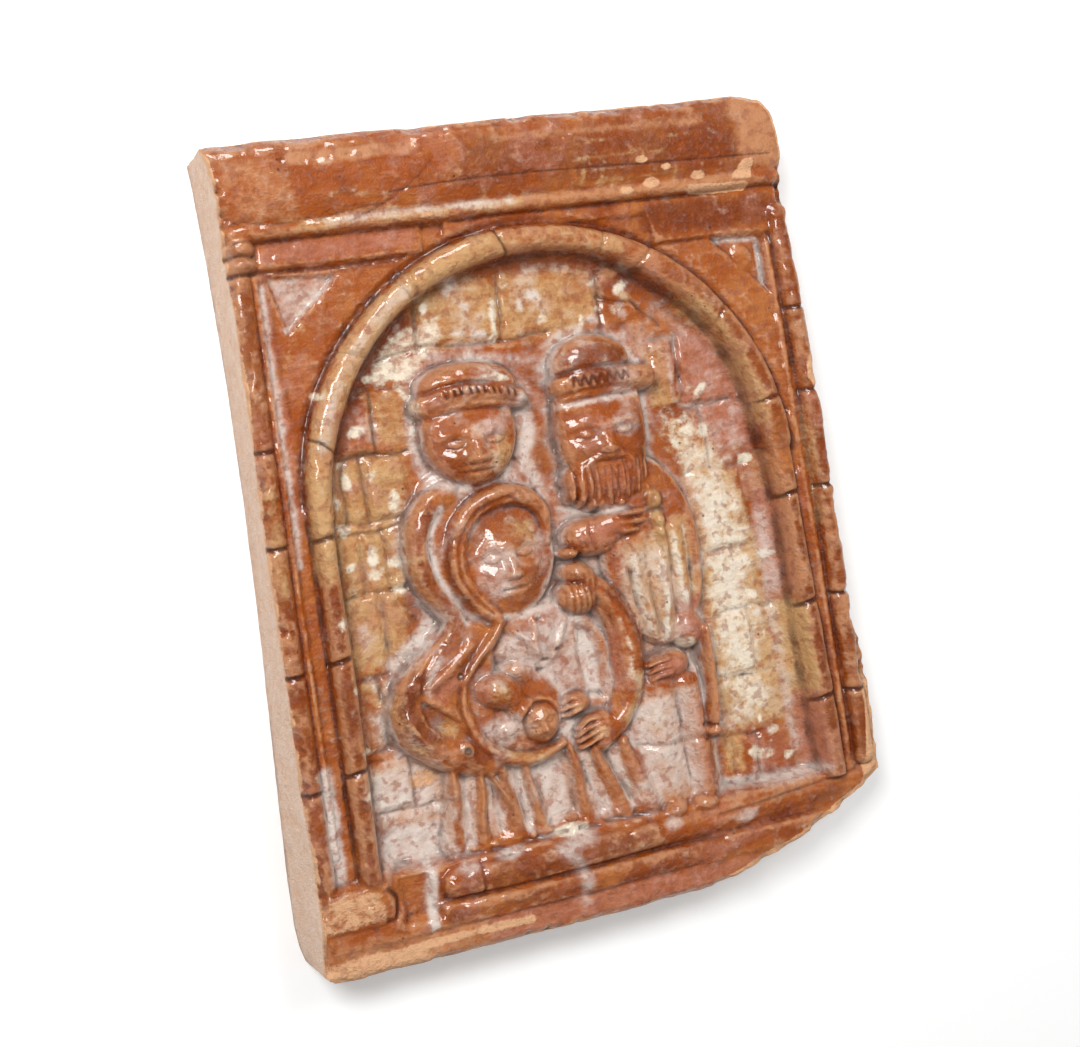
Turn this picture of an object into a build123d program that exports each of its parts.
"""Hand-modelled relief tile: a thick clay slab with a cornice, ringed colonettes and a round arch,
and in the niche below the arch a traditional family group on a brick wall, fired as one piece.

The tile lies on its back. X runs across the picture, Y up the picture and Z out of its face.
The origin is at the middle of the back. Lengths are in millimetres.
"""

from build123d import *
import math
import os

# Slab
HEIGHT = 341.0
TOP_WIDTH = 253.0
BASE_WIDTH = 270.0
GROUND = 29.0  # thickness of the slab at the frame around the niche
EDGE_ROUND = 2.0
WORN_CORNER = 13.0  # rounding of the top right corner
BREAK_RUN = 84.0  # lost bottom right corner, along the bottom edge
BREAK_RISE = 33.0  # and up the right edge
FOOT_HEIGHT = 40.0  # stump of the slab's full width that is left above the break
FOOT_STEP = 3.5  # how far the right edge above the stump has been worn back
SLOPE_FOOT = 6.5  # the left side leans in from the back to the front by this much at the base
SLOPE_HEAD = 2.8  # and by this much at the top

# Niche and arch
NICHE_DEPTH = 9.0
REVEAL_RUN = 10.0  # sideways run of the splayed reveal over the niche's depth
ARCH_X = 3.5
ARCH_MARGIN = 27.0  # from the base's corner in to the foot of the arch roll
ARCH_DROP = 11.5  # middle line of the roll at its crown, below the cornice
ROLL_RADIUS = 5.6
LEG_SPLAY = 4.0  # each leg's foot stands this far outside its springing
ARCH_RINGS = (12.0, 36.0, 71.0, 96.0, 120.0, 141.0, 163.0)  # degrees from the right springing
RING_PITCH = 47.0  # ring cuts up the legs and shafts
LEFT_FIRST_RING = 45.0  # above the floor
RIGHT_FIRST_RING = 34.0
RING_WIDTH = 2.0
RING_DEPTH = 1.3

# Outer colonettes
COLONETTE_RADIUS = 5.0
LEFT_INSET = 10.0  # middle line in from the slab's edge
RIGHT_INSET = 4.0
CAPITAL_HEIGHT = 14.0
CAPITAL_RADIUS = 6.5

# Cornice and architrave
CORNICE_HEIGHT = 39.5
CORNICE_LIP = 6.0  # height of the narrow lip along its lower edge
CORNICE_RISE = 9.0  # crown of the broad swell above the ground
CORNICE_BEVEL = 4.0  # height of the bevel along the top edge
ARCHITRAVE_HEIGHT = 15.0
ARCHITRAVE_RISE = 1.6
SPANDREL_DEPTH = 2.5  # sunk triangles beside the arch
SPANDREL_SIDE = 28.0

# Plinth
PLINTH_HEIGHT = 37.5
BAND_HEIGHT = 12.5  # lowest band
BAND_RISE = 4.0
LEDGE_HEIGHT = 9.0  # ledge above the band
LEDGE_RISE = 6.0
STEP_RADIUS = 7.0  # rounded step below the seated figure
STEP_LEFT = -72.0
STEP_RIGHT = 20.0
BLOCK_HEIGHT = 15.0  # base block under the left pair of shafts
BLOCK_RISE = 7.0

# Brick wall at the back of the niche
BRICK_COURSES = (27.0, 51.0, 83.0, 117.0, 145.0, 173.0, 201.0)  # bed joints above the floor
JOINT_WIDTH = 2.0
JOINT_DEPTH = 1.2

# Figures: places are (across, above the floor), rises are above the brick wall
REAR_HEAD = (-31.5, 171.0)
ELDER_HEAD = (26.5, 167.0)
MOTHER_HEAD = (-24.5, 120.0)
CHILD_HEAD = (-21.5, 50.0)
HEAD_WIDTH = 42.0
HEAD_RISE = 12.5
MOTHER_WIDTH = 33.0
MOTHER_LENGTH = 41.0
MOTHER_TILT = 4.0
CAP_WIDTH = 47.0
CAP_BAND = 12.0
CAP_RISE = 14.5
BEARD_LENGTH = 24.0
ROBE_WIDTH = 46.0
ROBE_LENGTH = 82.0
ROBE_RISE = 9.4
VEIL_RADIUS = 5.2
VEIL_RISE = 12.2
MANTLE_RADIUS = 5.2
MANTLE_RISE = 10.4
SLEEVE_RADIUS = 8.2
SLEEVE_RISE = 12.6
GOWN_RISE = 7.6
SKIRT_RISE = 4.8
SKIRT_HEIGHT = 37.0
FOLD_TOPS = (-38.0, -26.5, -15.5, -7.0, 14.5, 25.5, 39.0)
FOLD_FEET = (-41.5, -29.0, -14.0, -2.5, 18.5, 34.0, 46.5)
FOLD_RADIUS = 3.3
FOLD_RISE = 9.0
BUNDLE_WIDTH = 46.0
BUNDLE_RISE = 9.0
CHILD_RADIUS = 9.0
CHILD_RISE = 14.2
STAFF_RADIUS = 3.3
STAFF_LENGTH = 44.0
STAFF_RISE = 11.2
HAND_RISE = 13.0
FOOT_RADIUS = 5.2
FOOT_RISE = 13.2
PLATE_CORNER = 5.0  # rounding of the flat plates' corners
BEVEL_SHARE = 0.36  # bevel of a flat lump, as a share of its corner's rounding
FOOT_LEDGE = 0.4  # smear of clay left round a roll where it was pressed on

# Levels and lines that follow from the sizes above
TOP_Y = HEIGHT / 2
FLOOR_Y = PLINTH_HEIGHT - HEIGHT / 2
CORNICE_Y = TOP_Y - CORNICE_HEIGHT
WALL = GROUND - NICHE_DEPTH
ARCH_RADIUS = BASE_WIDTH / 2 - ARCH_MARGIN - LEG_SPLAY  # middle line of the arch roll
ARCH_Y = CORNICE_Y - ARCH_DROP - ARCH_RADIUS
RIGHT_EDGE_FOOT = BASE_WIDTH / 2 - FOOT_STEP
BREAK_TOP_Y = BREAK_RISE - HEIGHT / 2
STUMP_TOP_Y = BREAK_TOP_Y + FOOT_HEIGHT
TALLEST = GROUND + 2 * max(NICHE_DEPTH, CORNICE_RISE)  # above everything that is modelled
ROOT = 0.5 * WALL  # mouldings reach this deep into the slab
BLANK_WIDTH = max(BASE_WIDTH, TOP_WIDTH) + 20.0  # clay blank from which the tile is trimmed
BLANK_HEIGHT = HEIGHT + 20.0


def left_edge(y: float) -> float:
    """Place across of the slab's left edge at a height on the picture."""
    share = (y + HEIGHT / 2) / HEIGHT
    return -BASE_WIDTH / 2 + share * (BASE_WIDTH - TOP_WIDTH) / 2


def right_edge(y: float) -> float:
    """Place across of the slab's right edge, above the stump."""
    share = (y - STUMP_TOP_Y) / (TOP_Y - STUMP_TOP_Y)
    return RIGHT_EDGE_FOOT + share * (TOP_WIDTH / 2 - RIGHT_EDGE_FOOT)


def slab_outline() -> Face:
    """Plan of the slab: a little wider at the base, one corner worn round and one broken off."""
    break_start = (BASE_WIDTH / 2 - BREAK_RUN, -HEIGHT / 2)
    stump_foot = (BASE_WIDTH / 2, BREAK_TOP_Y)
    stump_head = (BASE_WIDTH / 2, STUMP_TOP_Y - FOOT_STEP)
    worn_corner = (TOP_WIDTH / 2, TOP_Y)
    corners = [
        (-BASE_WIDTH / 2, -HEIGHT / 2),
        break_start,
        stump_foot,
        stump_head,
        (RIGHT_EDGE_FOOT, STUMP_TOP_Y),
        worn_corner,
        (-TOP_WIDTH / 2, TOP_Y),
    ]
    plan = make_face(Polyline(*corners, close=True))

    def corner_at(point):
        return plan.vertices().sort_by_distance((*point, 0))[0]

    plan = fillet(corner_at(worn_corner), WORN_CORNER)
    plan = fillet(corner_at(break_start), BREAK_RISE / 2)
    return fillet(corner_at(stump_foot), FOOT_STEP)


def left_slope() -> Part:
    """Wedge of clay cut from the left side, which leans in from the back to the front."""

    def section(y, lean):
        back = left_edge(y)
        front = back + lean * TALLEST / GROUND
        corners = [(back, 0), (front, TALLEST), (-BLANK_WIDTH, TALLEST), (-BLANK_WIDTH, 0)]
        return Plane.XZ.offset(-y) * make_face(Polyline(*corners, close=True))

    reach = BLANK_HEIGHT / 2
    return loft([section(-reach, SLOPE_FOOT), section(reach, SLOPE_HEAD)], ruled=True)


def niche_outline(inset: float) -> Face:
    """Round-headed opening inside the arch roll's middle line, drawn in by an inset."""
    reach = ARCH_RADIUS - inset
    foot = reach + LEG_SPLAY
    left, right = (ARCH_X - reach, ARCH_Y), (ARCH_X + reach, ARCH_Y)
    crown = (ARCH_X, ARCH_Y + reach)
    sides = Polyline(left, (ARCH_X - foot, FLOOR_Y), (ARCH_X + foot, FLOOR_Y), right)
    return make_face([sides, ThreePointArc(right, crown, left)])


def niche() -> Part:
    """Hollow of the niche: a splayed reveal from the arch down to the brick wall."""
    mouth = Pos(0, 0, GROUND + EDGE_ROUND) * niche_outline(0)
    back = Pos(0, 0, WALL) * niche_outline(REVEAL_RUN)
    return loft([back, mouth])


def brick_joints() -> Part:
    """Bed joints between the brick courses, pressed into the wall inside the reveal."""
    wall = extrude(Pos(0, 0, WALL - JOINT_DEPTH) * niche_outline(REVEAL_RUN), 2 * JOINT_DEPTH)
    span = 2 * (ARCH_RADIUS + LEG_SPLAY)
    joints = []
    for above in BRICK_COURSES:
        joints.append(Pos(ARCH_X, FLOOR_Y + above, WALL) * Box(span, JOINT_WIDTH, 4 * JOINT_DEPTH))
    return wall & (Part() + joints)


def spandrel_triangle(side: int) -> Part:
    """Sunk triangle in the corner between arch, colonette and architrave; side is -1 or 1."""
    top = CORNICE_Y - ARCHITRAVE_HEIGHT
    outer = left_edge(top) + LEFT_INSET if side < 0 else right_edge(top) - RIGHT_INSET
    outer -= side * 2 * COLONETTE_RADIUS
    corners = [(outer, top), (outer - side * SPANDREL_SIDE, top), (outer, top - SPANDREL_SIDE)]
    triangle = make_face(Polyline(*corners, close=True))
    return extrude(Pos(0, 0, GROUND - SPANDREL_DEPTH) * triangle, 2 * SPANDREL_DEPTH)


def along(profile: Face) -> Part:
    """Runs a moulding's profile, drawn as (up, out), across the whole tile."""
    return extrude(Plane.YZ * profile, BLANK_WIDTH / 2, both=True)


def cornice() -> Part:
    """Broad swelling cornice with a lip below and a bevel along its top edge."""
    low, lip = CORNICE_Y, CORNICE_Y + CORNICE_LIP
    bevel, top = TOP_Y - CORNICE_BEVEL, BLANK_HEIGHT / 2
    lip_out, crown_out = GROUND + CORNICE_RISE * 0.6, GROUND + CORNICE_RISE
    edge_out = GROUND + CORNICE_RISE * 0.75
    outline = [
        Polyline((lip, lip_out), (low, lip_out - 1), (low, ROOT), (top, ROOT), (top, GROUND)),
        Polyline((top, GROUND), (TOP_Y, GROUND + 1), (bevel, edge_out)),
        ThreePointArc((bevel, edge_out), ((lip + bevel) / 2, crown_out), (lip, lip_out)),
    ]
    return along(make_face(outline))


def architrave() -> Part:
    """Flat band between the cornice and the arch."""
    low = CORNICE_Y - ARCHITRAVE_HEIGHT
    size = (BLANK_WIDTH, ARCHITRAVE_HEIGHT + EDGE_ROUND, GROUND + ARCHITRAVE_RISE - ROOT)
    return Pos(0, low, ROOT) * Box(*size, align=(Align.CENTER, Align.MIN, Align.MIN))


def plinth() -> Part:
    """Stepped foot of the tile: a low band, a ledge and the floor of the niche."""
    foot = -HEIGHT / 2
    band, ledge = foot + BAND_HEIGHT, foot + BAND_HEIGHT + LEDGE_HEIGHT
    band_out, ledge_out, floor_out = GROUND + BAND_RISE, GROUND + LEDGE_RISE, GROUND + BAND_RISE / 2
    outline = Polyline(
        (-BLANK_HEIGHT / 2, ROOT),
        (-BLANK_HEIGHT / 2, GROUND),
        (foot, GROUND + 1),
        (foot + BAND_RISE, band_out),
        (band, band_out),
        (band + 1, ledge_out),
        (ledge - 1, ledge_out),
        (ledge, floor_out),
        (FLOOR_Y, floor_out),
        (FLOOR_Y, ROOT),
        close=True,
    )
    return along(make_face(outline))


def half_turned(profile: Face) -> Part:
    """Turns a profile drawn above its axis, the X line, into a half-round body on the XY plane."""
    return revolve(profile, Axis.X, 180)


def capsule_half(length: float, start_radius: float, end_radius: float, round_start: bool) -> Face:
    """Half plan of a tapered roll on the X line, round at its end and round or square at its start."""
    slope = math.asin((start_radius - end_radius) / length)

    def on_ball(middle, radius, angle):
        return (middle + radius * math.sin(angle), radius * math.cos(angle))

    end_touch = on_ball(length, end_radius, slope)
    tip = (length + end_radius, 0)
    if round_start:
        tail, start_touch = (-start_radius, 0), on_ball(0, start_radius, slope)
        head = ThreePointArc(tail, on_ball(0, start_radius, slope / 2 - math.pi / 4), start_touch)
    else:
        tail, start_touch = (0, 0), (0, start_radius)
        head = Line(tail, start_touch)
    bend = ThreePointArc(end_touch, on_ball(length, end_radius, slope / 2 + math.pi / 4), tip)
    return make_face([head, Line(start_touch, end_touch), bend, Line(tip, tail)])


def capsule(start, end, start_radius: float, end_radius: float, level: float, round_start=True) -> Part:
    """Half-round roll between two places at a level, on a straight foot where that is above the wall."""
    run, rise = end[0] - start[0], end[1] - start[1]
    length = math.hypot(run, rise)
    solid = half_turned(capsule_half(length, start_radius, end_radius, round_start))
    if level > WALL:
        half = capsule_half(length, start_radius + FOOT_LEDGE, end_radius + FOOT_LEDGE, round_start)
        foot = Pos(0, 0, ROOT - level) * (half + mirror(half, Plane.XZ))
        solid += extrude(foot, level - ROOT + FOOT_LEDGE)
    turn = math.degrees(math.atan2(rise, run))
    return Pos(*start, level) * Rot(0, 0, turn) * solid


def lump(start, end, radius: float, rise: float) -> Part:
    """Rounded lump of clay between two places, which stands out of the wall by its rise."""
    return capsule(start, end, radius, radius - FOOT_LEDGE, WALL + rise - radius)


def limb(points, radii, rise: float) -> list:
    """Roll of clay bent through several places, as a chain of half-round lengths."""
    pieces = []
    for start, end, first, second in zip(points, points[1:], radii, radii[1:]):
        first_radius = first - FOOT_LEDGE if pieces else first
        level = WALL + rise - max(first, second)
        pieces.append(capsule(start, end, first_radius, second, level, round_start=not pieces))
    return pieces


def pillow(middle, width: float, height: float, rise: float, turn: float = 0.0) -> Part:
    """Flat lump of clay with round corners and a bevelled edge, pressed on the wall."""
    corner = 0.46 * min(width, height)
    solid = extrude(RectangleRounded(width, height, corner), WALL + rise - ROOT)
    solid = chamfer(solid.faces().sort_by(Axis.Z)[-1].edges(), BEVEL_SHARE * corner)
    return Pos(*middle, ROOT) * Rot(0, 0, turn) * solid


def plate(corners, rise: float, rounding: float) -> Part:
    """Flat piece of clay laid on the wall, with rounded corners."""
    outline = make_face(Polyline(*corners, close=True))
    outline = fillet(outline.vertices(), rounding)
    return extrude(Pos(0, 0, ROOT) * outline, WALL + rise - ROOT)


def stands(across: float, above: float) -> tuple:
    """Place on the picture of a point given from the niche's floor."""
    return (across, FLOOR_Y + above)


def ringed_shaft(start, end, radius: float, first_ring: float) -> list:
    """Round shaft from its foot to its head, parted by ring cuts at the pitch from the first one up."""
    run, rise = end[0] - start[0], end[1] - start[1]
    length = math.hypot(run, rise)
    count = math.ceil((length - first_ring - RING_WIDTH) / RING_PITCH)
    rings = [first_ring + number * RING_PITCH for number in range(max(count, 0))]
    axis = Plane(origin=(*start, GROUND), x_dir=(0, 0, 1), z_dir=(run, rise, 0))

    def drum(first, last, drum_radius):
        solid = Cylinder(drum_radius, last - first, align=(Align.CENTER, Align.CENTER, Align.MIN))
        return axis * Pos(0, 0, first) * solid

    bounds = [0.0, *rings, length]
    pieces = [drum(0, length, radius - RING_DEPTH)]
    for first, last in zip(bounds, bounds[1:]):
        head = RING_WIDTH / 2 if first > 0 else 0.0
        tail = RING_WIDTH / 2 if last < length else 0.0
        pieces.append(drum(first + head, last - tail, radius))
    return pieces


def arch_roll() -> list:
    """Round arch of half-round roll, parted by ring grooves, on two splayed legs."""
    groove = math.degrees(RING_WIDTH / ARCH_RADIUS)

    def bent(first, last, radius):
        section = Plane.XZ * Pos(ARCH_RADIUS, 0) * Circle(radius)
        turned = revolve(section, Axis.Z, last - first)
        return Pos(ARCH_X, ARCH_Y, GROUND) * Rot(0, 0, first) * turned

    bounds = [0.0, *ARCH_RINGS, 180.0]
    pieces = [bent(0, 180, ROLL_RADIUS - RING_DEPTH)]
    for first, last in zip(bounds, bounds[1:]):
        head = groove / 2 if first > 0 else 0.0
        tail = groove / 2 if last < 180 else 0.0
        pieces.append(bent(first + head, last - tail, ROLL_RADIUS))
    for side, rings in ((-1, LEFT_FIRST_RING), (1, RIGHT_FIRST_RING)):
        foot = (ARCH_X + side * (ARCH_RADIUS + LEG_SPLAY), FLOOR_Y)
        pieces += ringed_shaft(foot, (ARCH_X + side * ARCH_RADIUS, ARCH_Y), ROLL_RADIUS, rings)
    return pieces


def colonettes() -> list:
    """Outer shafts beside the slab's edges, the left one with a capital."""
    top = CORNICE_Y - CAPITAL_HEIGHT
    left_foot = (left_edge(FLOOR_Y) + LEFT_INSET, FLOOR_Y)
    left_head = (left_edge(top) + LEFT_INSET, top)
    right_foot = (right_edge(FLOOR_Y) - RIGHT_INSET, FLOOR_Y)
    right_head = (right_edge(top) - RIGHT_INSET, top)
    cushion_low = (left_head[0], top + CAPITAL_RADIUS / 2)
    cushion_high = (left_head[0], CORNICE_Y)
    return [
        *ringed_shaft(left_foot, left_head, COLONETTE_RADIUS, LEFT_FIRST_RING),
        *ringed_shaft(right_foot, right_head, COLONETTE_RADIUS, RIGHT_FIRST_RING),
        capsule(cushion_low, cushion_high, CAPITAL_RADIUS, CAPITAL_RADIUS * 0.8, GROUND - 1),
    ]


def plinth_blocks() -> list:
    """Base block under the left pair of shafts, and the rounded step in the middle."""
    middle = FLOOR_Y - BLOCK_HEIGHT / 2
    low = left_edge(middle)
    high = ARCH_X - ARCH_RADIUS - LEG_SPLAY + ROLL_RADIUS
    block = Box(high - low, BLOCK_HEIGHT, GROUND + BLOCK_RISE - ROOT)
    block = fillet(block.edges().group_by(Axis.Z)[-1], EDGE_ROUND)
    step_y = FLOOR_Y - STEP_RADIUS
    return [
        Pos((low + high) / 2, middle, (GROUND + BLOCK_RISE + ROOT) / 2) * block,
        capsule((STEP_LEFT, step_y), (STEP_RIGHT, step_y), STEP_RADIUS, STEP_RADIUS - 0.5, GROUND),
    ]


def rear_man() -> list:
    """Capped man behind the mother, of whom only the head shows."""
    x, y = stands(*REAR_HEAD)
    return [
        pillow((x, y - 18), 50, 24, HEAD_RISE - 7.5),
        pillow((x, y + 4), HEAD_WIDTH, 46, HEAD_RISE),
        pillow((x + 3, y + 18), CAP_WIDTH + 10, CAP_BAND, CAP_RISE - 0.5, -3),
        pillow((x + 2, y + 25), CAP_WIDTH - 5, 17, CAP_RISE - 0.8, -3),
    ]


def elder() -> list:
    """Bearded man in a long robe, with a hand across the chest and a staff beside the robe."""
    x, y = stands(*ELDER_HEAD)
    hem = FLOOR_Y + 55
    tunic = [(x - 5, hem), (x + 28, hem), (x + 30.5, FLOOR_Y + 28), (x + 29.5, FLOOR_Y - 1)]
    tunic += [(x - 4.5, FLOOR_Y - 1), (x - 7.5, FLOOR_Y + 28)]
    staff_head = (x + 33.5, y - 92)
    staff_foot = (x + 31, y - 92 - STAFF_LENGTH)
    return [
        pillow((x + 15.5, y - 54), ROBE_WIDTH, ROBE_LENGTH, ROBE_RISE, 3),
        plate(tunic, GOWN_RISE, PLATE_CORNER),
        pillow((x, y + 3), HEAD_WIDTH + 1, 74, HEAD_RISE - 0.4),
        pillow((x + 2.5, y + 22), CAP_WIDTH + 5, CAP_BAND - 1, CAP_RISE + 0.4),
        pillow((x + 0.5, y + 30), CAP_WIDTH - 9, 22, CAP_RISE),
        pillow((x - 1, y - 20), HEAD_WIDTH - 3, BEARD_LENGTH, HEAD_RISE + 1),
        pillow((x - 11, y - 43.5), 28, 16, HAND_RISE),
        *limb(((x - 1, y - 39), (x + 12, y - 38)), (STAFF_RADIUS, STAFF_RADIUS - 1), HAND_RISE + 1),
        *limb(((x + 18, y - 33), (x + 19, y - 60)), (STAFF_RADIUS + 1, STAFF_RADIUS), HAND_RISE),
        pillow((x + 26, y - 90), 15, 18, ROBE_RISE + 1, 10),
        pillow((x + 13.5, y - 106), 22, 15, HAND_RISE),
        lump(staff_head, staff_foot, STAFF_RADIUS, STAFF_RISE),
        lump((x + 4, FLOOR_Y), (x + 9, FLOOR_Y + 1), FOOT_RADIUS, FOOT_RISE),
        lump((x + 19, FLOOR_Y), (x + 24, FLOOR_Y - 1), FOOT_RADIUS, FOOT_RISE),
    ]


def mother() -> list:
    """Seated veiled woman with both arms round the child and a skirt falling in folds."""
    x, y = stands(*MOTHER_HEAD)
    lap = FLOOR_Y + SKIRT_HEIGHT
    veil = [(19, 3), (16, 22), (0, 27.5), (-17, 19), (-22.5, 4), (-18.5, -12), (-8.5, -23), (-27, -46)]
    veil_radii = [VEIL_RADIUS + more for more in (-2, -1, 0, 0.2, 0.3, 0.2, -1, -2.4)]
    mantle = [(-21.5, 32), (-35, 20), (-37.9, 5), (-32, -10), (-27, -22), (-40, -37), (-50, -46)]
    mantle_radii = [MANTLE_RADIUS + more for more in (0.2, 0.6, 0, 0, -0.4, 0.2, 1.2)]
    elbow = [(-50, -46), (-53, -56), (-49, -66), (-38, -74), (-21, -83)]
    elbow_radii = [SLEEVE_RADIUS + more for more in (-1.4, -0.8, -0.2, -0.2, -2)]
    right_arm = [(33, -16), (44.5, -32), (47.6, -49), (45, -64), (37, -77), (29, -84)]
    arm_radii = [SLEEVE_RADIUS + more for more in (-2, 0, 0.4, -0.2, -1.4, -2.8)]
    shoulder = [(-26, -21), (-48, -39), (-60, -53), (-56, -67), (-38, -81), (-20, -86), (-11, -27)]
    bodice = [(-10, -23), (26, -23), (28, -38), (26, -52), (26, -83), (4, -79), (4, -47), (-14, -37)]
    left_skirt = [(x - 35.5, lap + 4), (x - 2.5, lap + 4), (x + 0.5, FLOOR_Y - 1)]
    left_skirt += [(x - 44.5, FLOOR_Y - 1), (x - 41.5, FLOOR_Y + 19)]
    right_skirt = [(x + 12.5, lap + 2), (x + 42.5, lap + 2), (x + 48.5, FLOOR_Y + 21)]
    right_skirt += [(x + 51.5, FLOOR_Y - 1), (x + 15.5, FLOOR_Y - 1)]

    def placed(offsets):
        return [(x + across, y + up) for across, up in offsets]

    pieces = [
        plate(left_skirt, SKIRT_RISE, PLATE_CORNER),
        plate(right_skirt, SKIRT_RISE, PLATE_CORNER),
        plate(placed(shoulder), GOWN_RISE, PLATE_CORNER),
        plate(placed(bodice), GOWN_RISE - 1.8, PLATE_CORNER),
        pillow((x - 13.5, y + 5), 56, 66, GOWN_RISE, 4),
        pillow((x - 4, y + 2), 54, 56, GOWN_RISE + 1.2, 6),
        pillow((x + 7.5, y - 36), 34, 26, GOWN_RISE + 1.5, -8),
        *limb(placed(mantle), mantle_radii, MANTLE_RISE),
        *limb(placed(elbow), elbow_radii, MANTLE_RISE + 1),
        *limb(placed([(-22.5, -32), (-43, -46.5)]), (STAFF_RADIUS + 1.4, STAFF_RADIUS + 1.4), VEIL_RISE),
        *limb(placed([(-45.5, -50), (-29, -63.5)]), (STAFF_RADIUS + 1, STAFF_RADIUS + 1.6), VEIL_RISE),
        *limb(placed(right_arm), arm_radii, SLEEVE_RISE),
        *limb(placed(veil), veil_radii, VEIL_RISE),
        pillow((x, y), MOTHER_WIDTH, MOTHER_LENGTH, HEAD_RISE, MOTHER_TILT),
        pillow((x + 28.5, y - 19), 20, 24, HAND_RISE + 0.6, -8),
    ]
    for top, foot in zip(FOLD_TOPS, FOLD_FEET):
        pieces.append(lump((x + foot, FLOOR_Y + 3), (x + top, lap - 1), FOLD_RADIUS, FOLD_RISE))
    return pieces


def child() -> list:
    """Round bundle of a swaddled child across the mother's lap, held by two hands."""
    x, y = stands(*CHILD_HEAD)
    rim = [(x - 30, y + 24), (x - 32, y + 11), (x - 27, y - 3), (x - 16, y - 12), (x + 4, y - 14)]
    return [
        pillow((x - 9.5, y + 5), BUNDLE_WIDTH, BUNDLE_WIDTH - 5, BUNDLE_RISE),
        *limb(rim, [STAFF_RADIUS] * len(rim), BUNDLE_RISE + 2.4),
        lump((x - 20.5, y + 18), (x - 11.5, y + 14), CHILD_RADIUS - 1.2, CHILD_RISE + 0.6),
        lump((x - 13.5, y - 1.4), (x - 13.3, y - 0.6), CHILD_RADIUS - 3.4, CHILD_RISE - 1.2),
        lump((x - 0.2, y - 0.4), (x + 0.2, y + 0.4), CHILD_RADIUS, CHILD_RISE),
        pillow((x + 16, y + 4), 14, 11, HAND_RISE, -14),
        pillow((x + 23.5, y - 9), 21.5, 13, HAND_RISE, -6),
    ]


def relief_tile() -> Part:
    """The fired piece as a whole."""
    on_back = (Align.CENTER, Align.CENTER, Align.MIN)
    blank = Pos(0, 0, -ROOT) * Box(BLANK_WIDTH, BLANK_HEIGHT, GROUND + ROOT, align=on_back)
    blank = blank - niche() - brick_joints()
    blank = blank + [cornice(), architrave(), plinth(), *arch_roll(), *colonettes(), *plinth_blocks()]
    blank = blank - [spandrel_triangle(-1), spandrel_triangle(1)]
    for piece in (*rear_man(), *elder(), *mother(), *child()):
        blank += piece
    return (blank & extrude(slab_outline(), TALLEST)) - left_slope()


os.makedirs("parts", exist_ok=True)
tile = relief_tile()
export_step(tile, "parts/relief_tile.step")
print("solids", len(tile.solids()), "volume", round(tile.volume), "box", tile.bounding_box())
